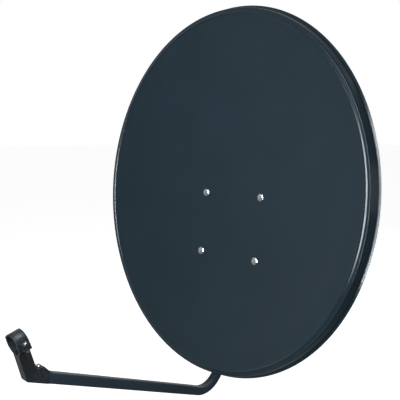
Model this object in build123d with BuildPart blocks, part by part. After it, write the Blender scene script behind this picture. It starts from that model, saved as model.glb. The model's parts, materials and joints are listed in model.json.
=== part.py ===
"""Offset satellite dish for a mast: pressed steel reflector, bent feed arm with an empty LNB collar,
elevation bracket and a four-bolt mast clamp.

Row frame: millimetres, +Z up, the reflector faces -Y. The origin is on the axis of the mast, halfway
between the two clamp jaws. Dish frame (plane DISH): origin at the centre of the rim, local x to the
right, local y up the tall axis of the rim, local z out of the face.
"""

from build123d import *
from math import acos, cos, radians, sin, sqrt, tan
import os

# ---------------------------------------------------------------- reflector
RIM_ASPECT = 0.915  # width of the rim over its height
FOCAL_LENGTH = 490.0
BOWL_RADIUS = 406.0  # radius of the paraboloid where it crosses the rim plane, seen along the beam
SHEET = 1.2
# section of the rim sideways from the centre: (half width, height above the rim plane)
LEDGE_FOOT = (418.0, 1.3)  # the crest of the lip steps down to a narrow ledge
LEDGE_CORNER = (425.6, 0.8)  # the ledge and the flange would meet here
FLANGE_EDGE = (431.0, -22.6)
HEM_EDGE = (436.0, -25.7)
LIP_SHEET = 1.5
LIP_STEP = 0.4  # the lip stands proud of the bowl by this much
LIP_RISE = 3.2  # height of the lip's crest, where the bowl's slope ends
LIP_DROP = 2.0  # depth below the rim plane at which the lip starts
LIP_OVERLAP = 0.5  # length of bowl inside the lip
LIP_BENDS = (2.0, 2.0, 2.3, 1.4)  # radii of the crest, the ledge's foot, the outer bend and the hem
BOLT_SPACING_X = 188.0
BOLT_SPACING_Y = 163.5
BOLT_CENTRE_Y = -87.5  # centre of the bolt pattern, below the centre of the rim
HEAD_SEAT = 0.06  # flat underside of a bolt head on the hollow of the bowl

# ---------------------------------------------------------------- pose and elevation pivot
TILT = 5.43  # the rim leans back by this angle at rest
PIVOT_Y = -95.0  # elevation pivot in the row frame
PIVOT_Z = 35.0
PIVOT_UP = -55.0  # the same pivot in the dish frame
PIVOT_OUT = -150.0
ELEVATION_UP = 21.5  # travel from rest
ELEVATION_DOWN = 13.5
LOCK_RADIUS = 70.0  # lock bolts, straight below the pivot
PIVOT_BOLT = 10.0
LOCK_BOLT = 8.0

# ---------------------------------------------------------------- feed arm
ARM_TUBE = 21.5
ARM_WALL = 1.5
ARM_CORNER = 3.0
ARM_SLOPE = 18.4  # the straight run rises towards the collar by this angle to the dish axis
ARM_RUN_POINT = (-445.4, 235.9)  # (y, z) of a point of the run's centre line in the dish frame
ARM_END_OUT = 460.3  # z of the tube's open end
ARM_LEG_POINT = (-497.7, -59.9)  # (y, z) of a point of the leg's centre line
ARM_LEG_LEAN = 7.2
ARM_LEG_TOP = -82.0
ARM_BEND = 68.0
ARM_BOLT = 6.0
CAP_THICKNESS = 2.0
PLUG_DEPTH = 12.0
PLUG_GAP = 0.1
ARM_BOLT_HEIGHTS = (-168.0, -106.0)

# ---------------------------------------------------------------- LNB collar
COLLAR_CENTRE = (-287.3, 526.8)  # (y, z) in the dish frame
COLLAR_AIM = 21.5  # angle of the collar's axis above the line back to the dish
COLLAR_BORE = 20.1  # radius, for the standard 40 mm LNB neck
COLLAR_WALL = 2.9
COLLAR_LENGTH = 24.0
COLLAR_SPLIT = 0.5  # half of the gap between the two halves
EAR_REACH = 36.0
EAR_LENGTH = 15.0
SCREW_X = 29.0
EAR_THICKNESS = 6.0
SPIGOT = 45.0  # length of the holder's tongue inside the tube
BOSS_FACE = (30.0, 18.8)  # middle of the screw boss's face, forward of and above the tube's end
BOSS_LEAN = -25.0
HOLDER_SCREW = 4.8
HOLDER_SCREW_LENGTH = 26.0
SCREW = 5.0

# ---------------------------------------------------------------- back bracket
PLATE_FRONT = -84.0  # z of the plate's front face in the dish frame
PLATE = 2.5
PLATE_WIDTH = 244.0
PLATE_HEIGHT = 214.0
CHEEK_INNER = 28.0
CHEEK = 3.0
FOOT_TOP = 13.0
FOOT_BASE = 21.0
ARM_SEAT_GAP = 0.15
PLATE_CORNER = 24.0
PLATE_FOLD = 9.0
PAD_FRONT = 1.3  # below the bowl's face, just clear of its back
PAD_BACK = PAD_FRONT + PLATE
SLOT_PLAY = 0.5  # degrees of slot beyond each end of the travel

# ---------------------------------------------------------------- mast bracket and clamp
MAST_RADIUS = 25.0
JAW_HEIGHT = 26.0
JAW_OFFSET_Z = 40.0
JAW_WIDTH = 118.0
JAW_SHEET = 2.5
JAW_BACK = 30.0  # from the mast's axis to the flat back of a jaw
JAW_LIP = 15.0  # from the mast's axis to the free edge of a jaw's flanges
BRACKET_SHEET = 3.0
BRACKET_WIDTH = 124.0
BRACKET_HEIGHT = 132.0
CHEEK_GAP = 0.3
CLAMP_BOLT = 8.0
CLAMP_BOLT_X = 46.0
CLAMP_BOLT_LENGTH = 100.0

# ---------------------------------------------------------------- fasteners
BOLT = 8.0
WASHER = 1.6
WASHER_10 = 2.0
M10_HEAD = (17.0, 6.4)
M6_HEAD = (10.0, 4.0)
FIT = 0.08  # radial clearance of a bolt that something turns or slides on
HOLE_PLAY = 0.3
M5_NUT = (8.0, 4.0)  # across flats, height
M6_NUT = (10.0, 5.0)
M8_NUT = (13.0, 6.5)
M10_NUT = (17.0, 8.0)
DOME_8 = (20.0, 4.4)  # carriage bolt head: diameter, height
NECK_8 = 8.0

# ---------------------------------------------------------------- frames
OFFSET = acos(RIM_ASPECT)
tilt = radians(TILT)
up = Vector(0, sin(tilt), cos(tilt))
out = Vector(0, -cos(tilt), sin(tilt))
rim_centre = Vector(0, PIVOT_Y, PIVOT_Z) - up * PIVOT_UP - out * PIVOT_OUT
DISH = Plane(origin=rim_centre, x_dir=(1, 0, 0), z_dir=out)


def dish_point(x, y, z):
    return DISH.from_local_coords(Vector(x, y, z))


def dish_direction(x, y, z):
    return Vector(x, 0, 0) + up * y + out * z


def side_plane(y, z, angle):
    """Plane in the dish's plane of symmetry: local x points forward and up by angle, local y up."""
    a = radians(angle)
    return Plane(
        origin=dish_point(0, y, z),
        x_dir=dish_direction(0, sin(a), cos(a)),
        z_dir=(-1, 0, 0),
    )


def profile_plane(plane):
    """Plane through the axis of another plane: local x is its x, local y is its z."""
    return Plane(origin=plane.origin, x_dir=plane.x_dir, z_dir=-plane.y_dir)


def bowl_depth(x, y):
    """Depth of the paraboloid below the rim plane at a point of the dish frame."""
    c, s = cos(OFFSET), sin(OFFSET)
    depth = 0.0
    for _ in range(6):
        divisor = 4 * FOCAL_LENGTH / c + 2 * c * s * y + depth * s * s
        depth = (BOWL_RADIUS**2 - x**2 - (c * y) ** 2) / divisor
    return depth


def bowl_plane(x, y):
    """Plane on the bowl's face at (x, y), with z along the face's own normal."""
    step = 0.5
    slope_x = (bowl_depth(x + step, y) - bowl_depth(x - step, y)) / (2 * step)
    slope_y = (bowl_depth(x, y + step) - bowl_depth(x, y - step)) / (2 * step)
    normal = dish_direction(slope_x, slope_y, 1)
    across = dish_direction(1, 0, -slope_x)
    return Plane(origin=dish_point(x, y, -bowl_depth(x, y)), x_dir=across, z_dir=normal)


# ---------------------------------------------------------------- fasteners, added to the open part
def round_bar(plane, radius, length):
    with BuildSketch(plane) as circle:
        Circle(radius)
    extrude(circle.sketch, amount=length)


def washer(plane, inner, outer, height):
    with BuildSketch(plane) as ring:
        Circle(outer)
        Circle(inner, mode=Mode.SUBTRACT)
    extrude(ring.sketch, amount=height)


def hex_nut(plane, size, bore):
    across, height = size
    corner = across / sqrt(3)
    slope = (corner - across / 2) * 0.6
    axis = Axis(plane.origin, plane.z_dir)
    with BuildSketch(plane) as hexagon:
        RegularPolygon(across / 2, 6, major_radius=False)
        Circle(bore, mode=Mode.SUBTRACT)
    extrude(hexagon.sketch, amount=height)
    # both ends of the hexagon are turned to a cone
    with BuildSketch(profile_plane(plane)) as cone:
        with BuildLine():
            Polyline((across / 2 - 0.2, height), (corner + 1, height), (corner + 1, height - slope), close=True)
        make_face()
        with BuildLine():
            Polyline((across / 2 - 0.2, 0), (corner + 1, 0), (corner + 1, slope), close=True)
        make_face()
    revolve(cone.sketch, axis=axis, mode=Mode.SUBTRACT)


def domed_head(plane, size):
    diameter, height = size
    edge = 1.0
    crown = height - edge
    ball = ((diameter / 2) ** 2 + crown**2) / (2 * crown)
    mid = height - ball + sqrt(ball**2 - (diameter / 4) ** 2)
    with BuildSketch(profile_plane(plane)) as half_head:
        with BuildLine():
            Polyline((0, height), (0, 0), (diameter / 2, 0), (diameter / 2, edge))
            ThreePointArc((diameter / 2, edge), (diameter / 4, mid), (0, height))
        make_face()
    revolve(half_head.sketch, axis=Axis(plane.origin, plane.z_dir))


def carriage_bolt(plane, diameter, length, neck_length):
    """Domed head above the plane, square neck and shank below it."""
    domed_head(plane, DOME_8)
    with BuildSketch(plane) as neck:
        Rectangle(NECK_8, NECK_8)
    extrude(neck.sketch, amount=-neck_length)
    with BuildSketch(plane) as shank:
        Circle(diameter / 2)
    extrude(shank.sketch, amount=-length)


def hex_bolt(plane, diameter, length, size):
    """Hexagonal head above the plane, shank below it."""
    across, height = size
    with BuildSketch(plane) as head:
        RegularPolygon(across / 2, 6, major_radius=False)
    extrude(head.sketch, amount=height)
    with BuildSketch(plane) as shank:
        Circle(diameter / 2)
    extrude(shank.sketch, amount=-length)


# ---------------------------------------------------------------- reflector
vertex_up = 2 * FOCAL_LENGTH * tan(OFFSET)
vertex_out = (BOWL_RADIUS**2 + vertex_up**2) / (4 * FOCAL_LENGTH)
vertex = dish_point(
    0,
    -vertex_up * cos(OFFSET) - vertex_out * sin(OFFSET),
    vertex_up * sin(OFFSET) - vertex_out * cos(OFFSET),
)
beam = dish_direction(0, sin(OFFSET), cos(OFFSET))
# section of the paraboloid through its beam axis, drawn on the side away from the dish
SECTION = Plane(origin=vertex, x_dir=-dish_direction(0, cos(OFFSET), -sin(OFFSET)), z_dir=(-1, 0, 0))
inner_reach = 4.0
outer_reach = vertex_up + BOWL_RADIUS + 40.0
bolt_spots = [
    (x * BOLT_SPACING_X / 2, BOLT_CENTRE_Y + y * BOLT_SPACING_Y / 2) for x in (-1, 1) for y in (-1, 1)
]

rim_slope = BOWL_RADIUS / (2 * FOCAL_LENGTH / cos(OFFSET))
# the ellipses in which planes cut the bowl shift down with depth
RIM = Plane(origin=dish_point(0, -LIP_DROP * tan(OFFSET), 0), x_dir=DISH.x_dir, z_dir=DISH.z_dir)
lip_inner = sqrt(BOWL_RADIUS**2 - 4 * FOCAL_LENGTH / cos(OFFSET) * LIP_DROP)
# the lip is a little thicker than the bowl on both sides, so that the bowl ends inside it
lip_start = lip_inner - LIP_STEP
lip_root = (lip_start - 2 * LIP_DROP / rim_slope, -3 * LIP_DROP)
lip_crest = (lip_start + (LIP_DROP + LIP_RISE) / rim_slope, LIP_RISE)
with BuildPart() as rim_ring:
    with BuildSketch(Plane.XZ):
        with BuildLine():
            FilletPolyline(
                lip_root, lip_crest, LEDGE_FOOT, LEDGE_CORNER, FLANGE_EDGE, HEM_EDGE, radius=LIP_BENDS
            )
            offset(amount=LIP_SHEET, side=Side.RIGHT)
        make_face()
        # the root ends in the plane in which the bowl ends
        with BuildLine():
            Polyline(
                (lip_root[0] - 4, -LIP_DROP),
                (lip_root[0] + 12, -LIP_DROP),
                (lip_root[0] + 12, -5 * LIP_DROP),
                (lip_root[0] - 4, -5 * LIP_DROP),
                close=True,
            )
        make_face(mode=Mode.SUBTRACT)
    revolve(axis=Axis.Z)
    scale(by=(1, 1 / RIM_ASPECT, 1))

with BuildPart() as reflector:
    with BuildSketch(SECTION):
        inner_height = inner_reach**2 / (4 * FOCAL_LENGTH)
        outer_height = outer_reach**2 / (4 * FOCAL_LENGTH)
        middle = ((inner_reach + outer_reach) / 2, inner_reach * outer_reach / (4 * FOCAL_LENGTH))
        with BuildLine():
            Bezier((inner_reach, inner_height), middle, (outer_reach, outer_height))
            Line((outer_reach, outer_height), (outer_reach, outer_height - SHEET))
            Bezier(
                (outer_reach, outer_height - SHEET),
                (middle[0], middle[1] - SHEET),
                (inner_reach, inner_height - SHEET),
            )
            Line((inner_reach, inner_height - SHEET), (inner_reach, inner_height))
        make_face()
    revolve(axis=Axis(vertex, beam))
    split(bisect_by=DISH.offset(LIP_OVERLAP - LIP_DROP), keep=Keep.BOTTOM)
    add(RIM.from_local_coords(rim_ring.part))
    for spot in bolt_spots:
        with BuildSketch(bowl_plane(*spot)):
            Rectangle(NECK_8 + HOLE_PLAY, NECK_8 + HOLE_PLAY)
        extrude(amount=-6, both=True, mode=Mode.SUBTRACT)


with BuildPart() as reflector_bolts:
    for spot in bolt_spots:
        carriage_bolt(bowl_plane(*spot).offset(HEAD_SEAT), BOLT, 24.0, PAD_BACK)

with BuildPart() as reflector_washers:
    for spot in bolt_spots:
        washer(bowl_plane(*spot).offset(-PAD_BACK - WASHER), BOLT / 2 + HOLE_PLAY, 8.5, WASHER)

with BuildPart() as reflector_nuts:
    for spot in bolt_spots:
        hex_nut(bowl_plane(*spot).offset(-PAD_BACK - WASHER - M8_NUT[1]), M8_NUT, BOLT / 2 + FIT)

# ---------------------------------------------------------------- back bracket
PLATE_BACK = DISH.offset(PLATE_FRONT - PLATE)
PIVOT_SIDE = side_plane(PIVOT_UP, PIVOT_OUT, 0)
arm_leg_lean = tan(radians(ARM_LEG_LEAN))


def leg_out(height):
    """z of the arm's leg at a height of the dish frame."""
    return ARM_LEG_POINT[1] - (height - ARM_LEG_POINT[0]) * arm_leg_lean


arm_bolt_points = [(height, leg_out(height)) for height in ARM_BOLT_HEIGHTS]
with BuildPart() as back_bracket:
    with BuildSketch(PLATE_BACK):
        with Locations((0, BOLT_CENTRE_Y)):
            RectangleRounded(PLATE_WIDTH, PLATE_HEIGHT, PLATE_CORNER)
    extrude(amount=PLATE)
    # the plate's edge is folded back all round
    with BuildSketch(PLATE_BACK):
        with Locations((0, BOLT_CENTRE_Y)):
            RectangleRounded(PLATE_WIDTH, PLATE_HEIGHT, PLATE_CORNER)
            inset = 2 * PLATE
            RectangleRounded(
                PLATE_WIDTH - inset, PLATE_HEIGHT - inset, PLATE_CORNER - PLATE, mode=Mode.SUBTRACT
            )
    extrude(amount=-PLATE_FOLD)
    with BuildSketch(PLATE_BACK):
        with Locations((0, BOLT_CENTRE_Y - PLATE_HEIGHT / 2)):
            Rectangle(ARM_TUBE + 4, 4 * PLATE)
    extrude(amount=-PLATE_FOLD, mode=Mode.SUBTRACT)
    # four pressed feet reach up to the back of the bowl
    for spot in bolt_spots:
        pad = bowl_plane(*spot).offset(-PAD_FRONT)
        with BuildSketch(pad):
            Circle(FOOT_TOP)
        with BuildSketch(PLATE_BACK):
            with Locations(spot):
                Circle(FOOT_BASE)
        loft()
    for spot in bolt_spots:
        pad = bowl_plane(*spot).offset(-PAD_BACK)
        with BuildSketch(pad):
            Circle(FOOT_TOP - PLATE)
        with BuildSketch(PLATE_BACK.offset(-PLATE)):
            with Locations(spot):
                Circle(FOOT_BASE - 0.4 * PLATE)
        loft(mode=Mode.SUBTRACT)
        with BuildSketch(pad):
            Rectangle(NECK_8 + HOLE_PLAY, NECK_8 + HOLE_PLAY)
        extrude(amount=2 * PLATE, mode=Mode.SUBTRACT)
    # two cheeks carry the elevation pivot and the slots for the lock bolts
    slot_line = CenterArc(
        (0, 0),
        LOCK_RADIUS,
        -90 - TILT - ELEVATION_UP - SLOT_PLAY,
        ELEVATION_UP + ELEVATION_DOWN + 2 * SLOT_PLAY,
        mode=Mode.PRIVATE,
    )
    plate_reach = PLATE_FRONT - PLATE / 2 - PIVOT_OUT
    for side in (-1, 1):
        with BuildSketch(PIVOT_SIDE.offset(side * (CHEEK_INNER + CHEEK / 2))):
            with BuildLine():
                FilletPolyline(
                    (plate_reach, 58),
                    (0, 18),
                    (-18, 4),
                    (-48, -56),
                    (-40, -80),
                    (0, -88),
                    (plate_reach, -84),
                    radius=(0, 18, 20, 12, 12, 12, 0),
                    close=True,
                )
            make_face()
            Circle(PIVOT_BOLT / 2 + FIT, mode=Mode.SUBTRACT)
            SlotArc(slot_line, LOCK_BOLT + 2 * HOLE_PLAY, mode=Mode.SUBTRACT)
        extrude(amount=CHEEK / 2, both=True)
    # two walls hold the leg of the arm between them
    for side in (-1, 1):
        wall_middle = ARM_TUBE / 2 + ARM_SEAT_GAP + PLATE / 2
        with BuildSketch(PIVOT_SIDE.offset(side * wall_middle)):
            with BuildLine():
                Polyline(
                    (plate_reach, -136),
                    (leg_out(PIVOT_UP - 136) - PIVOT_OUT - ARM_TUBE / 2 - 3, -136),
                    (leg_out(PIVOT_UP - 32) - PIVOT_OUT - ARM_TUBE / 2 - 3, -32),
                    (plate_reach, -32),
                    close=True,
                )
            make_face()
            for height, reach in arm_bolt_points:
                with Locations((reach - PIVOT_OUT, height - PIVOT_UP)):
                    Circle(ARM_BOLT / 2 + HOLE_PLAY, mode=Mode.SUBTRACT)
        extrude(amount=PLATE / 2, both=True)

# ---------------------------------------------------------------- feed arm
run_slope = tan(radians(ARM_SLOPE))
run_up, run_out = ARM_RUN_POINT
leg_up, leg_start = ARM_LEG_POINT
# where the centre lines of the leg and the straight run would meet
corner_up = (run_up + (leg_start + leg_up * arm_leg_lean - run_out) * run_slope) / (
    1 + arm_leg_lean * run_slope
)
tube_end_up = run_up + (ARM_END_OUT - run_out) * run_slope
with BuildPart() as feed_arm:
    with BuildLine() as arm_line:
        FilletPolyline(
            dish_point(0, ARM_LEG_TOP, leg_out(ARM_LEG_TOP)),
            dish_point(0, corner_up, leg_out(corner_up)),
            dish_point(0, tube_end_up, ARM_END_OUT),
            radius=ARM_BEND,
        )
    leg_plane = Plane(origin=arm_line.line @ 0, x_dir=(1, 0, 0), z_dir=arm_line.line % 0)
    with BuildSketch(leg_plane):
        RectangleRounded(ARM_TUBE, ARM_TUBE, ARM_CORNER)
        bore = ARM_TUBE - 2 * ARM_WALL
        RectangleRounded(bore, bore, ARM_CORNER - ARM_WALL, mode=Mode.SUBTRACT)
    sweep()
    for height, reach in arm_bolt_points:
        with BuildSketch(side_plane(height, reach, 0)):
            Circle(ARM_BOLT / 2 + HOLE_PLAY)
        extrude(amount=ARM_TUBE, both=True, mode=Mode.SUBTRACT)

with BuildPart() as arm_end_cap:
    with BuildSketch(leg_plane):
        RectangleRounded(ARM_TUBE, ARM_TUBE, ARM_CORNER)
    extrude(amount=-CAP_THICKNESS)
    with BuildSketch(leg_plane):
        plug = ARM_TUBE - 2 * ARM_WALL - 2 * PLUG_GAP
        RectangleRounded(plug, plug, ARM_CORNER - ARM_WALL)
        RectangleRounded(plug - 3, plug - 3, 0.8, mode=Mode.SUBTRACT)
    extrude(amount=PLUG_DEPTH)

arm_grip = ARM_TUBE / 2 + ARM_SEAT_GAP + PLATE
with BuildPart() as arm_bolts:
    for height, reach in arm_bolt_points:
        head = Plane(origin=dish_point(arm_grip + WASHER, height, reach), z_dir=(1, 0, 0))
        hex_bolt(head, ARM_BOLT, 2 * arm_grip + 2 * WASHER + M6_NUT[1] + 2, M6_HEAD)

with BuildPart() as arm_washers:
    for height, reach in arm_bolt_points:
        for side in (-1, 1):
            seat = Plane(origin=dish_point(side * arm_grip, height, reach), z_dir=(side, 0, 0))
            washer(seat, ARM_BOLT / 2 + HOLE_PLAY, ARM_BOLT, WASHER)

with BuildPart() as arm_nuts:
    for height, reach in arm_bolt_points:
        seat = Plane(origin=dish_point(-arm_grip - WASHER, height, reach), z_dir=(-1, 0, 0))
        hex_nut(seat, M6_NUT, ARM_BOLT / 2 + FIT)

# ---------------------------------------------------------------- LNB holder and collar
ARM_SIDE = side_plane(tube_end_up, ARM_END_OUT, ARM_SLOPE)
COLLAR_SIDE = side_plane(*COLLAR_CENTRE, -COLLAR_AIM)
TUBE_END = Plane(origin=ARM_SIDE.origin, x_dir=(1, 0, 0), z_dir=ARM_SIDE.x_dir)
# axis of the collar, z pointing away from the dish; local y points up through the split
COLLAR = Plane(origin=COLLAR_SIDE.origin, x_dir=(1, 0, 0), z_dir=COLLAR_SIDE.x_dir)
COLLAR_SCREWS = [
    Plane(origin=COLLAR.from_local_coords(Vector(side * SCREW_X, 0, 0)), x_dir=(1, 0, 0), z_dir=COLLAR.y_dir)
    for side in (-1, 1)
]
collar_outer = COLLAR_BORE + COLLAR_WALL
half = COLLAR_LENGTH / 2
boss_axis = side_plane(0, 0, ARM_SLOPE + BOSS_LEAN).y_dir
boss_spot = ARM_SIDE.from_local_coords(Vector(BOSS_FACE[0], BOSS_FACE[1], 0))
BOSS = Plane(origin=boss_spot, x_dir=(1, 0, 0), z_dir=boss_axis)


def beside_collar(along, rise):
    """Point given along and across the collar's axis, in the arm's side plane."""
    point = ARM_SIDE.to_local_coords(COLLAR_SIDE.from_local_coords(Vector(along, rise, 0)))
    return (point.X, point.Y)


def half_collar(side):
    """Half of the collar and its two ears, above the split for side 1, below it for side -1."""
    with BuildSketch(COLLAR) as ring:
        Circle(collar_outer)
        with Locations((0, -side * collar_outer + side * COLLAR_SPLIT)):
            Rectangle(4 * collar_outer, 2 * collar_outer, mode=Mode.SUBTRACT)
    extrude(ring.sketch, amount=half, both=True)
    with BuildSketch(COLLAR) as ears:
        with Locations((0, side * (EAR_THICKNESS + COLLAR_SPLIT) / 2)):
            Rectangle(2 * EAR_REACH, EAR_THICKNESS - COLLAR_SPLIT)
    extrude(ears.sketch, amount=EAR_LENGTH / 2, both=True)


def collar_bore():
    with BuildSketch(COLLAR) as bore_circle:
        Circle(COLLAR_BORE)
    extrude(bore_circle.sketch, amount=COLLAR_LENGTH, both=True, mode=Mode.SUBTRACT)


with BuildPart() as lnb_holder:
    half_collar(-1)
    with BuildSketch(ARM_SIDE):
        with BuildLine():
            FilletPolyline(
                (0, -ARM_TUBE / 2),
                (50, -ARM_TUBE / 2),
                (52, -8),
                beside_collar(half, -21),
                beside_collar(-half, -21),
                (43, 21),
                (37, 15.5),
                (BOSS_FACE[0] - 6, BOSS_FACE[1] + 3),
                (2, ARM_TUBE / 2 + 0.8),
                (0, ARM_TUBE / 2),
                radius=(0, 2, 2, 0, 0, 5, 2, 3, 1, 0),
                close=True,
            )
        make_face()
    extrude(amount=ARM_TUBE / 2, both=True)
    with BuildSketch(TUBE_END):
        tongue = ARM_TUBE - 2 * ARM_WALL - 2 * PLUG_GAP
        RectangleRounded(tongue, tongue, ARM_CORNER - ARM_WALL)
    extrude(amount=-SPIGOT)
    collar_bore()
    for screw in COLLAR_SCREWS:
        with BuildSketch(screw):
            Circle(SCREW / 2 + HOLE_PLAY)
        extrude(amount=-EAR_THICKNESS - 1, mode=Mode.SUBTRACT)
        with BuildSketch(screw.offset(-EAR_THICKNESS - 1)):
            RegularPolygon(M5_NUT[0] / 2 + 0.15, 6, major_radius=False)
        extrude(amount=M5_NUT[1] + 1, mode=Mode.SUBTRACT)
    with BuildSketch(BOSS):
        Circle(HOLDER_SCREW / 2 + FIT)
    extrude(amount=-HOLDER_SCREW_LENGTH - 1, mode=Mode.SUBTRACT)
    with BuildSketch(BOSS):
        Circle(7.0)
    extrude(amount=8, mode=Mode.SUBTRACT)

with BuildPart() as collar_cap:
    half_collar(1)
    with BuildSketch(COLLAR):
        with Locations((0, collar_outer - 0.4)):
            Rectangle(3.0, 2.4)
    extrude(amount=half, both=True)
    collar_bore()
    for screw in COLLAR_SCREWS:
        with BuildSketch(screw):
            Circle(SCREW / 2 + HOLE_PLAY)
        extrude(amount=EAR_THICKNESS + 1, mode=Mode.SUBTRACT)


def pan_screw(plane, diameter, length, head):
    """Cross-recessed pan head above the plane, shank below it."""
    radius, height = head
    with BuildSketch(profile_plane(plane)) as half_head:
        with BuildLine():
            Polyline((0, height), (0, 0), (radius, 0), (radius, height * 0.4))
            ThreePointArc((radius, height * 0.4), (radius * 0.6, height * 0.86), (0, height))
        make_face()
    revolve(half_head.sketch, axis=Axis(plane.origin, plane.z_dir))
    with BuildSketch(plane.offset(height * 0.45)) as recess:
        Rectangle(radius * 1.1, 1.2)
        Rectangle(1.2, radius * 1.1)
    extrude(recess.sketch, amount=height, mode=Mode.SUBTRACT)
    with BuildSketch(plane) as shank:
        Circle(diameter / 2)
    extrude(shank.sketch, amount=-length)


with BuildPart() as holder_screw:
    pan_screw(BOSS, HOLDER_SCREW, HOLDER_SCREW_LENGTH, (5.2, 3.4))

with BuildPart() as collar_screws:
    for screw in COLLAR_SCREWS:
        pan_screw(screw.offset(EAR_THICKNESS), SCREW, EAR_THICKNESS * 2 + 7, (4.6, 3.3))

with BuildPart() as collar_nuts:
    for screw in COLLAR_SCREWS:
        hex_nut(screw.offset(-EAR_THICKNESS), M5_NUT, SCREW / 2 + FIT)

# ---------------------------------------------------------------- mast bracket and clamp
jaw_heights = (-JAW_OFFSET_Z, JAW_OFFSET_Z)
web_front = -JAW_BACK - BRACKET_SHEET
wing_inner = CHEEK_INNER + CHEEK + CHEEK_GAP
wing_outer = wing_inner + BRACKET_SHEET
LOCK_Z = PIVOT_Z - LOCK_RADIUS


def side_pin(x, side, y, z):
    """Plane across the mast at (x, y, z), its z pointing sideways."""
    return Plane(origin=(side * x, y, z), x_dir=(0, 1, 0), z_dir=(side, 0, 0))


clamp_spots = {
    side: [
        Plane(origin=(x * CLAMP_BOLT_X, 0, side * JAW_OFFSET_Z), x_dir=(1, 0, 0), z_dir=(0, -1, 0))
        for x in (-1, 1)
    ]
    for side in (1, -1)
}

with BuildPart() as mast_bracket:
    with BuildSketch(Plane.XZ.offset(-web_front)):
        RectangleRounded(BRACKET_WIDTH, BRACKET_HEIGHT, 12.0)
    extrude(amount=-BRACKET_SHEET)
    for side in (-1, 1):
        with BuildSketch(Plane.YZ.offset(side * (wing_inner + BRACKET_SHEET / 2))):
            with BuildLine():
                FilletPolyline(
                    (web_front + BRACKET_SHEET / 2, BRACKET_HEIGHT / 2 - 4),
                    (PIVOT_Y + 10, PIVOT_Z + 20),
                    (PIVOT_Y - 19, PIVOT_Z + 18),
                    (PIVOT_Y - 17, LOCK_Z - 17),
                    (PIVOT_Y + 10, LOCK_Z - 20),
                    (web_front + BRACKET_SHEET / 2, -BRACKET_HEIGHT / 2 + 4),
                    radius=(0, 14, 14, 14, 14, 0),
                    close=True,
                )
            make_face()
            with Locations((PIVOT_Y, PIVOT_Z)):
                Circle(PIVOT_BOLT / 2 + FIT, mode=Mode.SUBTRACT)
            with Locations((PIVOT_Y, LOCK_Z)):
                Circle(LOCK_BOLT / 2 + HOLE_PLAY, mode=Mode.SUBTRACT)
        extrude(amount=BRACKET_SHEET / 2, both=True)
    for spots in clamp_spots.values():
        for spot in spots:
            with BuildSketch(spot):
                Rectangle(NECK_8 + HOLE_PLAY, NECK_8 + HOLE_PLAY)
            extrude(amount=-web_front + 1, mode=Mode.SUBTRACT)


def jaw(side, height):
    """Channel-shaped saddle: side -1 is in front of the mast, side 1 behind it."""
    back = Plane(origin=(0, side * JAW_BACK, height), x_dir=(1, 0, 0), z_dir=(0, -side, 0))
    with BuildSketch(back) as web:
        RectangleRounded(JAW_WIDTH, JAW_HEIGHT, 3.0)
        for x in (-1, 1):
            with Locations((x * CLAMP_BOLT_X, 0)):
                if side < 0:
                    Rectangle(NECK_8 + HOLE_PLAY, NECK_8 + HOLE_PLAY, mode=Mode.SUBTRACT)
                else:
                    Circle(CLAMP_BOLT / 2 + HOLE_PLAY, mode=Mode.SUBTRACT)
    extrude(web.sketch, amount=JAW_SHEET)
    for end in (-1, 1):
        level = height + end * (JAW_HEIGHT - JAW_SHEET) / 2
        with BuildSketch(Plane.XY.offset(level)) as flange:
            with BuildLine():
                Polyline(
                    (-JAW_WIDTH / 2 + 3, side * (JAW_BACK - 1)),
                    (JAW_WIDTH / 2 - 3, side * (JAW_BACK - 1)),
                    (JAW_WIDTH / 2 - 9, side * JAW_LIP),
                    (-JAW_WIDTH / 2 + 9, side * JAW_LIP),
                    close=True,
                )
            make_face()
            Circle(MAST_RADIUS, mode=Mode.SUBTRACT)
        extrude(flange.sketch, amount=JAW_SHEET / 2, both=True)


with BuildPart() as front_jaw_upper:
    jaw(-1, JAW_OFFSET_Z)

with BuildPart() as front_jaw_lower:
    jaw(-1, -JAW_OFFSET_Z)

with BuildPart() as rear_jaw_upper:
    jaw(1, JAW_OFFSET_Z)

with BuildPart() as rear_jaw_lower:
    jaw(1, -JAW_OFFSET_Z)

with BuildPart() as clamp_bolts:
    for spots in clamp_spots.values():
        for spot in spots:
            carriage_bolt(spot.offset(-web_front), CLAMP_BOLT, CLAMP_BOLT_LENGTH, 5.0)

with BuildPart() as clamp_washers_upper:
    for spot in clamp_spots[1]:
        washer(spot.offset(-JAW_BACK - WASHER), CLAMP_BOLT / 2 + HOLE_PLAY, 8.5, WASHER)

with BuildPart() as clamp_washers_lower:
    for spot in clamp_spots[-1]:
        washer(spot.offset(-JAW_BACK - WASHER), CLAMP_BOLT / 2 + HOLE_PLAY, 8.5, WASHER)

with BuildPart() as clamp_nuts_upper:
    for spot in clamp_spots[1]:
        hex_nut(spot.offset(-JAW_BACK - WASHER - M8_NUT[1]), M8_NUT, CLAMP_BOLT / 2 + FIT)

with BuildPart() as clamp_nuts_lower:
    for spot in clamp_spots[-1]:
        hex_nut(spot.offset(-JAW_BACK - WASHER - M8_NUT[1]), M8_NUT, CLAMP_BOLT / 2 + FIT)

# ---------------------------------------------------------------- elevation pivot and lock bolts
with BuildPart() as pivot_bolt:
    hex_bolt(
        side_pin(wing_outer + WASHER_10, 1, PIVOT_Y, PIVOT_Z),
        PIVOT_BOLT,
        2 * wing_outer + 2 * WASHER_10 + M10_NUT[1] + 3,
        M10_HEAD,
    )

with BuildPart() as pivot_washers:
    for side in (-1, 1):
        washer(side_pin(wing_outer, side, PIVOT_Y, PIVOT_Z), PIVOT_BOLT / 2 + HOLE_PLAY, 10.0, WASHER_10)

with BuildPart() as pivot_nut:
    hex_nut(side_pin(wing_outer + WASHER_10, -1, PIVOT_Y, PIVOT_Z), M10_NUT, PIVOT_BOLT / 2 + FIT)

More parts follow.
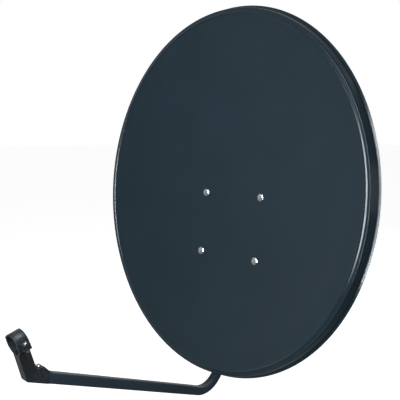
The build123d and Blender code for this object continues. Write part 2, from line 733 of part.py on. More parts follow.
lock_length = wing_outer - CHEEK_INNER + CHEEK_GAP + WASHER + M8_NUT[1] + 2
with BuildPart() as lock_bolts:
    for side in (-1, 1):
        seat = Plane(
            origin=(side * (CHEEK_INNER - CHEEK_GAP), PIVOT_Y, LOCK_Z), x_dir=(0, 1, 0), z_dir=(-side, 0, 0)
        )
        domed_head(seat, DOME_8)
        round_bar(seat, LOCK_BOLT / 2, -lock_length)

with BuildPart() as lock_washers:
    for side in (-1, 1):
        washer(side_pin(wing_outer, side, PIVOT_Y, LOCK_Z), LOCK_BOLT / 2 + HOLE_PLAY, 9.0, WASHER)

with BuildPart() as lock_nuts:
    for side in (-1, 1):
        hex_nut(side_pin(wing_outer + WASHER, side, PIVOT_Y, LOCK_Z), M8_NUT, LOCK_BOLT / 2 + FIT)

# ---------------------------------------------------------------- files
pieces = {
    "reflector": reflector,
    "reflector_bolts": reflector_bolts,
    "reflector_washers": reflector_washers,
    "reflector_nuts": reflector_nuts,
    "back_bracket": back_bracket,
    "feed_arm": feed_arm,
    "arm_end_cap": arm_end_cap,
    "arm_bolts": arm_bolts,
    "arm_washers": arm_washers,
    "arm_nuts": arm_nuts,
    "lnb_holder": lnb_holder,
    "holder_screw": holder_screw,
    "collar_cap": collar_cap,
    "collar_screws": collar_screws,
    "collar_nuts": collar_nuts,
    "mast_bracket": mast_bracket,
    "front_jaw_upper": front_jaw_upper,
    "front_jaw_lower": front_jaw_lower,
    "rear_jaw_upper": rear_jaw_upper,
    "rear_jaw_lower": rear_jaw_lower,
    "clamp_bolts": clamp_bolts,
    "clamp_washers_upper": clamp_washers_upper,
    "clamp_washers_lower": clamp_washers_lower,
    "clamp_nuts_upper": clamp_nuts_upper,
    "clamp_nuts_lower": clamp_nuts_lower,
    "pivot_bolt": pivot_bolt,
    "pivot_washers": pivot_washers,
    "pivot_nut": pivot_nut,
    "lock_bolts": lock_bolts,
    "lock_washers": lock_washers,
    "lock_nuts": lock_nuts,
}
os.makedirs("parts", exist_ok=True)
for name, piece in pieces.items():
    piece.part.label = name
    export_step(piece.part, f"parts/{name}.step")
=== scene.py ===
import json
import math

import bmesh
import bpy
from mathutils import Matrix, Vector

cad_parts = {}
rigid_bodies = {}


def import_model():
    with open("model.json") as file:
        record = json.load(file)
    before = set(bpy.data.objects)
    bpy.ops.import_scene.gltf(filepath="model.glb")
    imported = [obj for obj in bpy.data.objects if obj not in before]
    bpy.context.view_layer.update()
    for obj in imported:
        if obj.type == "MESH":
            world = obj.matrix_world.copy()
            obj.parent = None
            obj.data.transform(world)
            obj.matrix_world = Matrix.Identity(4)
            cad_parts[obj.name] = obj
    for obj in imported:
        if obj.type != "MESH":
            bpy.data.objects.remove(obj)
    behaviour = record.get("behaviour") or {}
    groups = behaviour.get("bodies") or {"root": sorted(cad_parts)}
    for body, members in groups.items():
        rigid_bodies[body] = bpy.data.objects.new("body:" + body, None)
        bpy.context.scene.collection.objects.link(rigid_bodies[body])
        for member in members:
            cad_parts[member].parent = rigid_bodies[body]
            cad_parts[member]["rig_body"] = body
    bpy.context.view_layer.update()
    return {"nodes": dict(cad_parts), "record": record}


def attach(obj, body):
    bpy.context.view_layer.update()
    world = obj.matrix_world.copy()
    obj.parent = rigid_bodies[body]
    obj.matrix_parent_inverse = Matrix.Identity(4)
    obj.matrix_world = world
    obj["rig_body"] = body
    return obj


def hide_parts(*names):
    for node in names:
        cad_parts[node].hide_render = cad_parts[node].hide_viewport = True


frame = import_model()
nodes = frame["nodes"]
slot_of = {s["node"]: s["material_slot"] for s in frame["record"]["subparts"]}

# ------------------------------------------------------------------ frames, as in the CAD (mm in, metres out)
MM = 0.001
PIVOT = Vector((0, -0.095, 0.035))  # the elevation hinge
tilt = math.radians(5.43)  # the rim leans back by this angle at rest
X = Vector((1, 0, 0))
UP = Vector((0, math.sin(tilt), math.cos(tilt)))
OUT = Vector((0, -math.cos(tilt), math.sin(tilt)))
RIM_CENTRE = PIVOT + 0.055 * UP + 0.150 * OUT


def dish(x, v, n):
    """Point x to the right, v up the rim and n out of the face, from the centre of the rim."""
    return RIM_CENTRE + MM * (x * X + v * UP + n * OUT)


# ------------------------------------------------------------------ materials
def start(name):
    """New material with its node tree, its shader and the object coordinates."""
    m = bpy.data.materials.new(name)
    m.use_nodes = True
    nt = m.node_tree
    coord = nt.nodes.new("ShaderNodeTexCoord")
    return m, nt, nt.nodes["Principled BSDF"], coord.outputs["Object"]


def noise(nt, vec, scale, detail=2.0, roughness=0.5, distortion=0.0):
    n = nt.nodes.new("ShaderNodeTexNoise")
    n.inputs["Scale"].default_value = scale
    n.inputs["Detail"].default_value = detail
    n.inputs["Roughness"].default_value = roughness
    n.inputs["Distortion"].default_value = distortion
    nt.links.new(vec, n.inputs["Vector"])
    return n.outputs[0]


def cells(nt, vec, scale, output="Color"):
    n = nt.nodes.new("ShaderNodeTexVoronoi")
    n.inputs["Scale"].default_value = scale
    nt.links.new(vec, n.inputs["Vector"])
    return n.outputs[output]


def stretch(nt, vec, scale):
    n = nt.nodes.new("ShaderNodeMapping")
    n.inputs["Scale"].default_value = scale
    nt.links.new(vec, n.inputs["Vector"])
    return n.outputs[0]


def span(nt, value, lo, hi, out_lo, out_hi):
    n = nt.nodes.new("ShaderNodeMapRange")
    n.inputs["From Min"].default_value = lo
    n.inputs["From Max"].default_value = hi
    n.inputs["To Min"].default_value = out_lo
    n.inputs["To Max"].default_value = out_hi
    nt.links.new(value, n.inputs["Value"])
    return n.outputs[0]


def blend(nt, fac, a, b):
    """Mix of two colours, each a tuple or a socket."""
    n = nt.nodes.new("ShaderNodeMix")
    n.data_type = "RGBA"
    if isinstance(fac, float):
        n.inputs[0].default_value = fac
    else:
        nt.links.new(fac, n.inputs[0])
    for k, c in ((6, a), (7, b)):
        if isinstance(c, tuple):
            n.inputs[k].default_value = (*c, 1)
        else:
            nt.links.new(c, n.inputs[k])
    return n.outputs[2]


def math_node(nt, op, a, b):
    n = nt.nodes.new("ShaderNodeMath")
    n.operation = op
    for k, v in enumerate((a, b)):
        if isinstance(v, (int, float)):
            n.inputs[k].default_value = v
        else:
            nt.links.new(v, n.inputs[k])
    return n.outputs[0]


def bump(nt, height, strength, distance, before=None):
    n = nt.nodes.new("ShaderNodeBump")
    n.inputs["Strength"].default_value = strength
    n.inputs["Distance"].default_value = distance
    nt.links.new(height, n.inputs["Height"])
    if before is not None:
        nt.links.new(before, n.inputs["Normal"])
    return n.outputs[0]


def edges(nt, lo, hi):
    """Where the surface turns sharply outwards: 0 on flats, 1 on worn edges."""
    g = nt.nodes.new("ShaderNodeNewGeometry")
    return span(nt, g.outputs["Pointiness"], lo, hi, 0.0, 1.0)


def shade(colour, k):
    return tuple(min(1.0, c * k) for c in colour)


def powder_coat(name, colour, rough, grain=1.0):
    """Satin powder coat: orange peel, slow changes of tone, fine flecks, polished and chipped edges."""
    m, nt, b, vec = start(name)
    slow = noise(nt, vec, 7.0, 3.0, 0.55)
    tone = blend(nt, span(nt, slow, 0.3, 0.7, 0.0, 1.0), shade(colour, 0.93), shade(colour, 1.07))
    fleck = span(nt, noise(nt, vec, 620.0, 1.0, 0.5), 0.60, 0.72, 0.0, 0.35)
    tone = blend(nt, fleck, tone, shade(colour, 1.45))
    pit = span(nt, noise(nt, vec, 900.0, 2.0, 0.5), 0.45, 0.35, 0.0, 0.2)
    tone = blend(nt, pit, tone, shade(colour, 0.7))
    patches = span(nt, noise(nt, vec, 60.0, 4.0, 0.6), 0.45, 0.65, 0.0, 0.5)
    rub = math_node(nt, "MULTIPLY", edges(nt, 0.53, 0.60), patches)
    tone = blend(nt, rub, tone, shade(colour, 1.9))
    nt.links.new(tone, b.inputs["Base Color"])
    cloudy = noise(nt, vec, 24.0, 4.0, 0.6)
    nt.links.new(span(nt, cloudy, 0.25, 0.75, rough - 0.04, rough + 0.05), b.inputs["Roughness"])
    peel = noise(nt, vec, 420.0 * grain, 2.0, 0.5)
    wave = noise(nt, vec, 9.0, 1.0, 0.4)
    n = bump(nt, wave, 0.12, 0.004)
    n = bump(nt, peel, 0.10, 0.0004, n)
    nt.links.new(n, b.inputs["Normal"])
    b.inputs["IOR"].default_value = 1.5
    b.inputs["Specular IOR Level"].default_value = 0.5
    return m


def zinc(name, colour, rough, warm):
    """Bright zinc plate: cloudy passivated film, fine turning marks, dull worn edges."""
    m, nt, b, vec = start(name)
    cloud = noise(nt, vec, 130.0, 4.0, 0.6)
    film = blend(nt, span(nt, cloud, 0.3, 0.7, 0.0, 1.0), shade(colour, 0.86), warm)
    film = blend(nt, span(nt, noise(nt, vec, 900.0, 2.0), 0.58, 0.74, 0.0, 0.5), film, shade(colour, 0.55))
    film = blend(nt, edges(nt, 0.54, 0.64), film, shade(colour, 1.12))
    nt.links.new(film, b.inputs["Base Color"])
    b.inputs["Metallic"].default_value = 1.0
    dull = noise(nt, vec, 260.0, 4.0, 0.65)
    nt.links.new(span(nt, dull, 0.3, 0.7, rough - 0.08, rough + 0.10), b.inputs["Roughness"])
    fine = noise(nt, vec, 1500.0, 3.0, 0.6)
    nt.links.new(bump(nt, fine, 0.18, 0.00012), b.inputs["Normal"])
    return m


def galvanised(name, colour, rough):
    """Hot-dip galvanised sheet: spangle of crystal grains, each with its own tone and gloss."""
    grain_scale = 150.0
    m, nt, b, vec = start(name)
    warp = noise(nt, vec, 160.0, 2.0, 0.5)
    add = nt.nodes.new("ShaderNodeVectorMath")
    add.operation = "MULTIPLY_ADD"
    comb = nt.nodes.new("ShaderNodeCombineXYZ")
    for k in range(3):
        nt.links.new(warp, comb.inputs[k])
    nt.links.new(comb.outputs[0], add.inputs[0])
    add.inputs[1].default_value = (0.004, 0.004, 0.004)
    nt.links.new(vec, add.inputs[2])
    grains = cells(nt, add.outputs[0], grain_scale)
    sep = nt.nodes.new("ShaderNodeSeparateColor")
    nt.links.new(grains, sep.inputs[0])
    tone = blend(nt, sep.outputs[0], shade(colour, 0.74), shade(colour, 1.12))
    dull = span(nt, noise(nt, vec, 22.0, 4.0, 0.6), 0.40, 0.66, 0.0, 0.55)
    tone = blend(nt, dull, tone, (0.43, 0.44, 0.45))
    nt.links.new(tone, b.inputs["Base Color"])
    b.inputs["Metallic"].default_value = 1.0
    nt.links.new(span(nt, sep.outputs[1], 0.0, 1.0, rough - 0.10, rough + 0.14), b.inputs["Roughness"])
    n = bump(nt, cells(nt, add.outputs[0], grain_scale, "Distance"), 0.10, 0.0003)
    n = bump(nt, noise(nt, vec, 900.0, 3.0, 0.6), 0.14, 0.0002, n)
    nt.links.new(n, b.inputs["Normal"])
    return m


def plastic(name, colour, rough):
    """Moulded black plastic: spark-eroded grain, flow marks, scuffed edges."""
    m, nt, b, vec = start(name)
    flow = noise(nt, stretch(nt, vec, (1.0, 0.35, 1.0)), 45.0, 3.0, 0.55, 0.6)
    tone = blend(nt, span(nt, flow, 0.3, 0.7, 0.0, 1.0), shade(colour, 0.8), shade(colour, 1.25))
    patches = span(nt, noise(nt, vec, 220.0, 3.0), 0.42, 0.62, 0.1, 0.75)
    scuff = math_node(nt, "MULTIPLY", edges(nt, 0.53, 0.62), patches)
    tone = blend(nt, scuff, tone, shade(colour, 3.0))
    nt.links.new(tone, b.inputs["Base Color"])
    gloss = noise(nt, vec, 90.0, 4.0)
    nt.links.new(span(nt, gloss, 0.3, 0.7, rough - 0.05, rough + 0.08), b.inputs["Roughness"])
    n = bump(nt, noise(nt, vec, 1700.0, 2.0, 0.5), 0.30, 0.00012)
    n = bump(nt, flow, 0.10, 0.0006, n)
    nt.links.new(n, b.inputs["Normal"])
    return m


def floor_paint():
    """Matt pale paint that glows a little, so that the floor meets the white background."""
    m, nt, b, vec = start("studio_floor")
    b.inputs["Roughness"].default_value = 0.9
    cloud = noise(nt, vec, 0.7, 3.0)
    nt.links.new(blend(nt, cloud, (0.86, 0.86, 0.86), (0.90, 0.90, 0.90)), b.inputs["Base Color"])
    b.inputs["Emission Color"].default_value = (1, 1, 1, 1)
    b.inputs["Emission Strength"].default_value = 0.75
    return m


made = {
    "dish_paint": powder_coat("dish_paint", (0.0102, 0.0248, 0.0355), 0.21),
    "bracket_paint": powder_coat("bracket_paint", (0.024, 0.044, 0.060), 0.33, 1.2),
    "arm_paint": powder_coat("arm_paint", (0.027, 0.041, 0.055), 0.34, 1.2),
    "bolt_zinc": zinc("bolt_zinc", (0.86, 0.88, 0.90), 0.24, (0.88, 0.90, 0.91)),
    "jaw_zinc": galvanised("jaw_zinc", (0.60, 0.62, 0.64), 0.36),
    "screw_steel": zinc("screw_steel", (0.74, 0.74, 0.75), 0.20, (0.76, 0.75, 0.73)),
    "black_plastic": plastic("black_plastic", (0.016, 0.018, 0.021), 0.40),
}

# ------------------------------------------------------------------ mesh helpers


class Shape:
    """Collects loops of points into one closed, smooth-shaded mesh."""

    def __init__(self):
        self.points = []
        self.faces = []

    def loop(self, pts):
        first = len(self.points)
        self.points.extend(pts)
        return list(range(first, len(self.points)))

    def bridge(self, a, b):
        n = len(a)
        for i in range(n):
            j = (i + 1) % n
            self.faces.append((a[i], a[j], b[j], b[i]))

    def fan(self, point, a, flip=False):
        centre = self.loop([point])[0]
        n = len(a)
        for i in range(n):
            j = (i + 1) % n
            self.faces.append((centre, a[j], a[i]) if flip else (centre, a[i], a[j]))

    def turned(self, origin, x_axis, z_axis, rows, count, radius):
        """Solid round an axis, closed by a fan at both ends.

        Each row is a z value and a key; radius(key, angle, z) gives the radius and a shift along z.
        """
        y_axis = z_axis.cross(x_axis)
        loops = []
        for z, key in rows:
            ring = []
            for i in range(count):
                a = 2 * math.pi * i / count
                r, dz = radius(key, a, z)
                flat = r * math.cos(a) * x_axis + r * math.sin(a) * y_axis
                ring.append(origin + MM * (flat + (z + dz) * z_axis))
            loops.append(self.loop(ring))
        for a, b in zip(loops, loops[1:]):
            self.bridge(a, b)
        first = sum((self.points[i] for i in loops[0]), Vector()) / count
        last = sum((self.points[i] for i in loops[-1]), Vector()) / count
        self.fan(first, loops[0], True)
        self.fan(last, loops[-1])

    def build(self, name, node, sharp=32.0):
        me = bpy.data.meshes.new(name)
        me.from_pydata([tuple(p) for p in self.points], [], self.faces)
        bm = bmesh.new()
        bm.from_mesh(me)
        bmesh.ops.remove_doubles(bm, verts=bm.verts, dist=1e-7)
        bmesh.ops.recalc_face_normals(bm, faces=bm.faces)
        limit = math.radians(sharp)
        for f in bm.faces:
            f.smooth = True
        for e in bm.edges:
            if len(e.link_faces) == 2 and e.calc_face_angle(0.0) > limit:
                e.smooth = False
        bm.to_mesh(me)
        bm.free()
        ob = bpy.data.objects.new(name, me)
        bpy.context.scene.collection.objects.link(ob)
        me.materials.append(made[slot_of[node]])
        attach(ob, nodes[node]["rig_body"])
        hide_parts(node)
        return ob


def fillet_path(points, radii, step=12.0):
    """Polyline with its corners rounded, as points in a plane; step is the largest turn in degrees."""
    out = [points[0]]
    for before, at, after, r in zip(points, points[1:], points[2:], radii):
        a = Vector(before) - Vector(at)
        b = Vector(after) - Vector(at)
        turn = math.pi - a.angle(b)
        back = r * math.tan(turn / 2)
        a.normalize()
        b.normalize()
        s, e = Vector(at) + back * a, Vector(at) + back * b
        bis = (a + b).normalized()
        centre = Vector(at) + bis * math.hypot(r, back)
        count = max(2, math.ceil(math.degrees(turn) / step))
        u, w = s - centre, e - centre
        k = math.sin(turn)
        for i in range(count + 1):
            t = i / count
            out.append(tuple(centre + u * (math.sin((1 - t) * turn) / k) + w * (math.sin(t * turn) / k)))
    out.append(points[-1])
    return out


def lengthwise(points, gap):
    """The same path with extra points on its long straight runs."""
    out = [points[0]]
    for p, q in zip(points, points[1:]):
        n = max(1, math.ceil(math.hypot(q[0] - p[0], q[1] - p[1]) / gap))
        for i in range(1, n + 1):
            out.append((p[0] + (q[0] - p[0]) * i / n, p[1] + (q[1] - p[1]) * i / n))
    return out


# ------------------------------------------------------------------ reflector
ASPECT, FOCAL, BOWL = 0.915, 490.0, 406.0  # width over height, focal length, radius at the rim plane
OFFSET = math.acos(ASPECT)
SHIFT = -2.0 * math.tan(OFFSET)  # the section's rings are centred this far up the rim
# section of the rim: radius and height above the rim plane
STEP, CREST = (412.4, 0.4), (415.2, 3.3)
LEDGE_FOOT, LEDGE_CORNER = (419.3, 1.2), (425.6, 1.8)
FLANGE_EDGE, HEM_EDGE = (431.0, -23.2), (435.9, -25.6)
BENDS = (1.5, 1.7, 1.8, 2.9, 1.0)  # radii of the bends from STEP to FLANGE_EDGE
HEM_ROUND = 0.35  # the hem's cut edge bulges by this much
SHEET, LIP = 1.2, 1.5  # thickness of the bowl and of the rim
SLANT = 1.07  # thickness along the axis for a sheet that slopes
BACK_OFFSET = 0.96  # keeps the back of the rim inside the sheet at the bends
BLEND_FROM = 372.0  # the bowl eases into the lip outside this radius
THICKEN_FROM, THICKEN_OVER = 390, 24  # where the sheet grows from SHEET to LIP


def bowl_z(x, y):
    """Height of the paraboloid over the rim plane, by iteration."""
    c, s = math.cos(OFFSET), math.sin(OFFSET)
    d = 0.0
    for _ in range(6):
        d = (BOWL**2 - x**2 - (c * y) ** 2) / (4 * FOCAL / c + 2 * c * s * y + d * s * s)
    return -d


slope = BOWL / (2 * FOCAL / ASPECT)
inside = (STEP[0] - 10, STEP[1] - 10 * slope)
rim_front = fillet_path([inside, STEP, CREST, LEDGE_FOOT, LEDGE_CORNER, FLANGE_EDGE, HEM_EDGE], BENDS)[1:]
rim_front = lengthwise(rim_front, 3.0)
rim_back = []
for i, p in enumerate(rim_front):
    a = Vector(rim_front[max(i - 1, 0)])
    b = Vector(rim_front[min(i + 1, len(rim_front) - 1)])
    t = (b - a).normalized()
    rim_back.append((p[0] + t.y * LIP * BACK_OFFSET, p[1] - t.x * LIP * BACK_OFFSET))
end = Vector(rim_front[-1])
tip = (end + Vector(rim_back[-1])) / 2 + (end - Vector(rim_front[-2])).normalized() * HEM_ROUND

COUNT = 320
angles = [2 * math.pi * i / COUNT for i in range(COUNT)]
bowl_radii = [8 * k for k in range(1, 50)] + [396, 400, 404, 407, 409, 410.5]
r0, z0 = rim_front[0]
bowl_radii = [r for r in bowl_radii if r < r0 - 0.8]


def bowl_ring(r, down):
    """Ring of the bowl, moved down by a distance; near the rim its height eases into the lip's start."""
    ring = []
    t = max(0.0, (r - BLEND_FROM) / (r0 - BLEND_FROM))
    t = t * t * (3 - 2 * t)
    for a in angles:
        x, y = r * math.cos(a), r / ASPECT * math.sin(a) + SHIFT
        xe, ye = r0 * math.cos(a), r0 / ASPECT * math.sin(a) + SHIFT
        z = bowl_z(x, y) + t * (z0 - bowl_z(xe, ye))
        ring.append(dish(x, y, z - down))
    return ring


def rim_ring(r, z):
    return [dish(r * math.cos(a), r / ASPECT * math.sin(a) + SHIFT, z) for a in angles]


shape = Shape()
loops = [shape.loop(bowl_ring(r, 0.0)) for r in bowl_radii]
loops += [shape.loop(rim_ring(*p)) for p in rim_front]
loops += [shape.loop(rim_ring(*tip))]
loops += [shape.loop(rim_ring(*p)) for p in reversed(rim_back)]
for r in reversed(bowl_radii):
    thick = SHEET * SLANT + (LIP - SHEET) * SLANT * max(0.0, (r - THICKEN_FROM) / THICKEN_OVER)
    loops.append(shape.loop(bowl_ring(r, thick)))
for a, b in zip(loops, loops[1:]):
    shape.bridge(a, b)
shape.fan(dish(0, SHIFT, bowl_z(0, SHIFT)), loops[0], True)
shape.fan(dish(0, SHIFT, bowl_z(0, SHIFT) - SHEET * SLANT), loops[-1])
shape.build("reflector_shell", "reflector", 60.0)

# ------------------------------------------------------------------ feed arm, squeezed in the bend
TUBE, WALL, CORNER = 21.5, 1.5, 3.0
PRESS_LEAD = 14  # the squeeze starts this far before the bend
ARM_SLOPE, LEAN, BEND = math.radians(18.4), math.radians(7.2), 68.0
ARM_TOP, ARM_END = -82.0, 460.3  # v of the leg's upper end, n of the run's open end
run_v, run_n = -445.4, 235.9  # a point of the straight run
leg_v, leg_n = -497.7, -59.9  # a point of the leg
ks, kl = math.tan(ARM_SLOPE), math.tan(LEAN)
corner_v = (run_v + (leg_n + leg_v * kl - run_n) * ks) / (1 + kl * ks)


def leg_at(v):
    return leg_n - (v - leg_v) * kl


top, elbow = Vector((ARM_TOP, leg_at(ARM_TOP))), Vector((corner_v, leg_at(corner_v)))
tube_end = Vector((run_v + (ARM_END - run_n) * ks, ARM_END))
d1, d2 = (elbow - top).normalized(), (tube_end - elbow).normalized()
turn = d1.angle(d2)
back = BEND * math.tan(turn / 2)
arc_start, arc_end = elbow - d1 * back, elbow + d2 * back
inward = (d2 - d1).normalized()
arc_centre = elbow + inward * math.hypot(BEND, back)

stations = []
length1, length2 = (arc_start - top).length, (tube_end - arc_end).length
for i in range(25):
    stations.append((top + d1 * length1 * i / 24, d1, (i / 24 - 1) * length1))
for i in range(1, 41):
    t = i / 40
    u, w = arc_start - arc_centre, arc_end - arc_centre
    near, far = math.sin((1 - t) * turn), math.sin(t * turn)
    p = arc_centre + u * (near / math.sin(turn)) + w * (far / math.sin(turn))
    stations.append((p, (d1 * near + d2 * far).normalized(), t * BEND * turn))
for i in range(1, 37):
    stations.append((arc_end + d2 * length2 * i / 36, d2, BEND * turn + length2 * i / 36))


def square(half, radius):
    """Square with rounded corners and extra points along its sides."""
    pts = []
    flat = half - radius
    corners = [(flat, flat), (-flat, flat), (-flat, -flat), (flat, -flat)]
    for k, (cx, cy) in enumerate(corners):
        for j in range(7):
            a = math.pi / 2 * k + math.pi / 2 * j / 6
            pts.append((cx + radius * math.cos(a), cy + radius * math.sin(a)))
        nxt = math.pi / 2 * (k + 1)
        ex, ey = cx + radius * math.cos(nxt), cy + radius * math.sin(nxt)
        nx = corners[(k + 1) % 4][0] + radius * math.cos(nxt)
        ny = corners[(k + 1) % 4][1] + radius * math.sin(nxt)
        for j in range(1, 6):
            pts.append((ex + (nx - ex) * j / 6, ey + (ny - ey) * j / 6))
    return pts


def section(p, d, along, half, radius):
    """Section of the tube at a station; the bend presses its inner wall in and its sides out."""
    t = (along + PRESS_LEAD) / (BEND * turn + 2 * PRESS_LEAD)
    press = math.sin(math.pi * t) ** 2 if 0 < t < 1 else 0.0
    normal = Vector((-d.y, d.x))
    if normal.dot(arc_centre - p) < 0:
        normal = -normal
    ring = []
    for a, b in square(half, radius):
        side = abs(a) / half
        if b > 0:
            b -= press * (b / half) * (3.3 - 1.5 * side**2)
        else:
            b += press * (b / half) * -0.5 * (1 - side**2)
        a *= 1 + press * 0.035 * (1 - min(1.0, (b / half) ** 2))
        q = p + normal * b
        ring.append(dish(a, q.x, q.y))
    return ring


shape = Shape()
outer = [shape.loop(section(p, d, s, TUBE / 2, CORNER)) for p, d, s in stations]
inner = [shape.loop(section(p, d, s, TUBE / 2 - WALL, CORNER - WALL)) for p, d, s in stations]
for a, b in zip(outer, outer[1:]):
    shape.bridge(a, b)
for a, b in zip(inner, inner[1:]):
    shape.bridge(b, a)
shape.bridge(inner[0], outer[0])
shape.bridge(outer[-1], inner[-1])
shape.build("feed_arm_tube", "feed_arm", 40.0)


# ------------------------------------------------------------------ bolts with real threads
def dome_rows(size):
    """Rows of a domed head from its rim up to its crown; the key is the radius."""
    diameter, height = size
    edge, big = 1.0, diameter / 2
    crown = height - edge
    ball = (big**2 + crown**2) / (2 * crown)
    rows = [(0.0, big - 0.25), (0.2, big - 0.05), (0.7, big), (edge, big - 0.06)]
    for k in range(1, 15):
        r = big * (1 - k / 14) * 0.985
        rows.append((height - ball + math.sqrt(ball**2 - r**2), max(r, 0.12)))
    return rows


def thread_rows(z_from, z_to, radius, pitch):
    """Rows of a threaded shank, going from z_from down to z_to."""
    rows = []
    count = max(6, int(abs(z_from - z_to) / (pitch / 7)))
    for k in range(count + 1):
        z = z_from + (z_to - z_from) * k / count
        rows.append((z, ("thread", radius, pitch, z - z_to)))
    return rows


def bolt_radius(key, a, z):
    """Radius and shift along z for a row's key: a plain radius, a thread, a square neck or a hexagon."""
    if isinstance(key, (float, int)):
        return key, 0.0
    if key[0] == "thread":
        _, radius, pitch, tip_room = key
        t = (z / pitch - a / (2 * math.pi)) % 1.0
        wave = abs(2 * t - 1)
        wave = min(1.0, max(0.0, (wave - 0.08) / 0.84))
        r = radius - 0.03 - 0.58 * pitch * (1 - wave)
        return min(r, radius - 0.9 + max(0.0, tip_room) * 0.9), 0.0
    if key[0] == "square":
        half = key[1]
        c = max(abs(math.cos(a)), abs(math.sin(a)))
        return min(half / c, half * 1.34), 0.0
    _, across, top = key
    t = (a + math.pi / 6) % (math.pi / 3) - math.pi / 6
    r = across / 2 / math.cos(t)
    return r, -(r - across / 2 * 0.95) * 0.55 if top else 0.0


def bolt(shape, origin, x_axis, z_axis, head, thread, plain=0.0, square_neck=0.0):
    """Head above the plane, neck and shank below it, as one turned solid from tip to crown."""
    radius, pitch, length = thread
    shank = thread_rows(-max(plain, square_neck), -length, radius, pitch)
    rows = [(-length, radius - 0.95)] + shank[-2::-1]
    if plain:
        rows += [(-plain, radius - 0.02), (-0.02, radius - 0.02)]
    if square_neck:
        rows += [(-square_neck, ("square", 3.95)), (-0.02, ("square", 3.95))]
    if head[0] == "dome":
        rows += dome_rows(head[1])
    else:
        across, height = head[1]
        half = across / 2
        rows += [(0.0, half * 0.96), (0.25, ("hex", across, False)), (height - 0.05, ("hex", across, True))]
        rows += [(height, half * 0.93), (height - 0.25, half * 0.86), (height - 0.25, 0.2)]
    shape.turned(origin, x_axis, z_axis, rows, 48, bolt_radius)


DOME = (20.0, 4.4)  # diameter and height
M6, M8, M10 = (3.0, 1.0), (4.0, 1.25), (5.0, 1.5)  # radius and pitch
M8_WASHER, M8_NUT, SPARE_THREAD = 1.6, 6.5, 2.0
SPOTS = [(x * 94.0, -87.5 + y * 81.75) for x in (-1, 1) for y in (-1, 1)]


def bowl_frame(x, y):
    """Point of the bowl, a direction along it and its normal."""
    h = 0.5
    sx = -(bowl_z(x + h, y) - bowl_z(x - h, y)) / (2 * h)
    sy = -(bowl_z(x, y + h) - bowl_z(x, y - h)) / (2 * h)
    normal = (sx * X + sy * UP + OUT).normalized()
    across = (X - sx * OUT).normalized()
    return dish(x, y, bowl_z(x, y)), across, normal


shape = Shape()
for x, y in SPOTS:
    at, across, normal = bowl_frame(x, y)
    bolt(shape, at + 0.06 * MM * normal, across, normal, ("dome", DOME), (*M8, 24.0), square_neck=3.8)
shape.build("reflector_carriage_bolts", "reflector_bolts")

shape = Shape()
for side in (1, -1):
    for x in (-46.0, 46.0):
        at = MM * Vector((x, -33.0, side * 40.0))
        bolt(shape, at, X, Vector((0, -1, 0)), ("dome", DOME), (*M8, 100.0), square_neck=5.0)
shape.build("clamp_carriage_bolts", "clamp_bolts")

PLATE, GAP = 3.0, 0.3
CHEEK = 28.0  # inner face of the back bracket's cheeks
WING = CHEEK + PLATE + GAP + PLATE  # outer face of the mast bracket's cheeks
shape = Shape()
at = MM * Vector((WING + 2.0, -95.0, 35.0))
bolt(shape, at, Vector((0, 1, 0)), X, ("hex", (17.0, 6.4)), (*M10, 2 * WING + 4.0 + 8.0 + 3.0), plain=52.0)
shape.build("elevation_pivot_bolt", "pivot_bolt")

shape = Shape()
lock_length = WING - CHEEK + GAP + M8_WASHER + M8_NUT + SPARE_THREAD
for side in (-1, 1):
    at = MM * Vector((side * 27.7, -95.0, -35.0))
    bolt(shape, at, Vector((0, 1, 0)), Vector((-side, 0, 0)), ("dome", DOME), (*M8, lock_length))
shape.build("elevation_lock_bolts", "lock_bolts")

grip = TUBE / 2 + 0.15 + 2.5
shape = Shape()
for v in (-168.0, -106.0):
    at = dish(grip + 1.6, v, leg_at(v))
    bolt(shape, at, UP, X, ("hex", (10.0, 4.0)), (*M6, 2 * grip + 3.2 + 5.0 + 2.0), plain=18.0)
shape.build("arm_through_bolts", "arm_bolts")

# ------------------------------------------------------------------ carried-over CAD nodes
SMALL_BEVEL = 0.15
BEVEL = {
    "back_bracket": 0.5, "mast_bracket": 0.6, "front_jaw_upper": 0.5, "front_jaw_lower": 0.5,
    "rear_jaw_upper": 0.5, "rear_jaw_lower": 0.5, "lnb_holder": 0.5, "collar_cap": 0.5, "arm_end_cap": 0.5,
}
for name, ob in nodes.items():
    for s in ob.material_slots:
        s.material = made[slot_of[name]]
    weld = ob.modifiers.new("weld", "WELD")
    weld.merge_threshold = 2e-6
    bevel = ob.modifiers.new("edge", "BEVEL")
    bevel.width = BEVEL.get(name, SMALL_BEVEL) * MM
    bevel.segments = 2
    bevel.limit_method = "ANGLE"
    bevel.angle_limit = math.radians(28)
    bevel.harden_normals = True

# ------------------------------------------------------------------ floor, light, camera
FLOOR_Z = -0.75
me = bpy.data.meshes.new("floor")
me.from_pydata([(-40, -40, 0), (40, -40, 0), (40, 40, 0), (-40, 40, 0)], [], [(0, 1, 2, 3)])
floor = bpy.data.objects.new("floor", me)
floor.location = (0, 0, FLOOR_Z)
floor.visible_diffuse = False
floor.visible_glossy = False
bpy.context.scene.collection.objects.link(floor)
me.materials.append(floor_paint())

bpy.context.scene.view_settings.view_transform = "Standard"
world = bpy.data.worlds.new("studio")
world.use_nodes = True
nt = world.node_tree
sky = nt.nodes["Background"]
sky.inputs[0].default_value = (1, 1, 1, 1)
coord = nt.nodes.new("ShaderNodeTexCoord")
xyz = nt.nodes.new("ShaderNodeSeparateXYZ")
nt.links.new(coord.outputs["Generated"], xyz.inputs[0])
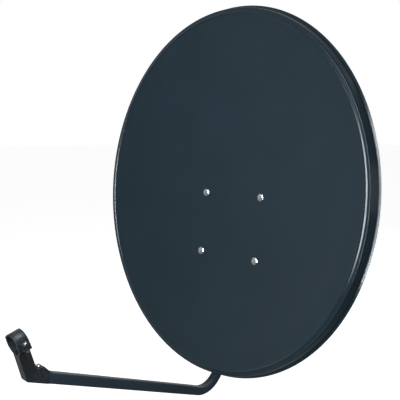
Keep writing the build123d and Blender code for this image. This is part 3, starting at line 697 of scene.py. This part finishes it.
# a white wall behind and to the left of the dish, a dim room in front of it, and less light from below
behind = span(nt, math_node(nt, "MULTIPLY", xyz.outputs[1], -1.0), 0.05, 0.40, 1.0, 0.0)
wall = math_node(nt, "MULTIPLY", behind, span(nt, xyz.outputs[0], -0.3, 0.5, 1.0, 0.3))
level = math_node(nt, "ABSOLUTE", xyz.outputs[2], 0.0)
wall = math_node(nt, "MULTIPLY", wall, span(nt, level, 0.25, 0.7, 1.0, 0.12))
from_left = span(nt, xyz.outputs[0], -0.9, 0.6, 0.42, 0.05)
room = math_node(nt, "MULTIPLY", from_left, span(nt, xyz.outputs[2], -0.6, 0.5, 0.75, 1.0))
light = math_node(nt, "ADD", math_node(nt, "MULTIPLY", wall, 0.22), room)
path = nt.nodes.new("ShaderNodeLightPath")
seen = nt.nodes.new("ShaderNodeMix")
nt.links.new(path.outputs["Is Camera Ray"], seen.inputs[0])
nt.links.new(light, seen.inputs[2])
seen.inputs[3].default_value = 1.0
nt.links.new(seen.outputs[0], sky.inputs[1])
bpy.context.scene.world = world


def softbox(name, at, aim, width, height, power, colour=(1, 1, 1)):
    """Rectangular area light at a point, facing another, unseen by the camera."""
    data = bpy.data.lights.new(name, "AREA")
    data.shape = "RECTANGLE"
    data.size, data.size_y = width, height
    data.energy = power
    data.color = colour
    ob = bpy.data.objects.new(name, data)
    ob.visible_camera = False
    z = (Vector(at) - Vector(aim)).normalized()
    x = Vector((0, 0, 1)).cross(z).normalized()
    ob.matrix_world = Matrix.Translation(at) @ Matrix((x, z.cross(x), z)).transposed().to_4x4()
    bpy.context.scene.collection.objects.link(ob)


def around(azimuth, elevation, distance):
    """Vector towards an azimuth, 0 in front of the dish and 90 to the right, and an elevation."""
    a, e = math.radians(azimuth), math.radians(elevation)
    return Vector((math.sin(a) * math.cos(e), -math.cos(a) * math.cos(e), math.sin(e))) * distance


# a narrow strip draws the bright lines of the lip and the hem; the others are soft
right_rim = dish(420, 0, 0)
left_rim = dish(-420, 0, 0)
softbox("strip_key", right_rim + around(24, 4, 2.8), right_rim, 0.16, 3.0, 80.0, (0.90, 0.96, 1.0))
collar = Vector((-0.287, -0.62, -0.42))
softbox("cap_light", collar + around(70, 62, 1.1), collar, 0.30, 0.30, 4.0, (0.78, 0.92, 1.0))
softbox("left_wall", left_rim + around(-106, 2, 3.0), left_rim, 1.2, 2.4, 14.0)
softbox("side_glow", right_rim + around(119, 2, 2.6), right_rim, 1.3, 0.9, 2.2, (0.82, 0.80, 1.0))
softbox("back_soft", around(170, 26, 3.2), (0, 0, 0), 2.0, 2.0, 16.0)

# the camera looks at the rim from the right and slightly above
az, el, roll = math.radians(43.639), math.radians(7.230), math.radians(-0.391)
AIM_LEFT, AIM_DOWN, DISTANCE = 0.0365, 0.0192, 1.3548
back_axis = Vector((math.sin(az) * math.cos(el), -math.cos(az) * math.cos(el), math.sin(el)))
level_right = Vector((math.cos(az), math.sin(az), 0))
level_up = back_axis.cross(level_right)
right = level_right * math.cos(roll) + level_up * math.sin(roll)
cam_up = back_axis.cross(right)
cam = bpy.data.cameras.new("camera")
cam.sensor_width = 36
cam.lens = 47.25
cam.clip_end = 200
cam_ob = bpy.data.objects.new("camera", cam)
place = RIM_CENTRE - AIM_LEFT * right - AIM_DOWN * cam_up + DISTANCE * back_axis
cam_ob.matrix_world = Matrix.Translation(place) @ Matrix((right, cam_up, back_axis)).transposed().to_4x4()
bpy.context.scene.collection.objects.link(cam_ob)
bpy.context.scene.camera = cam_ob
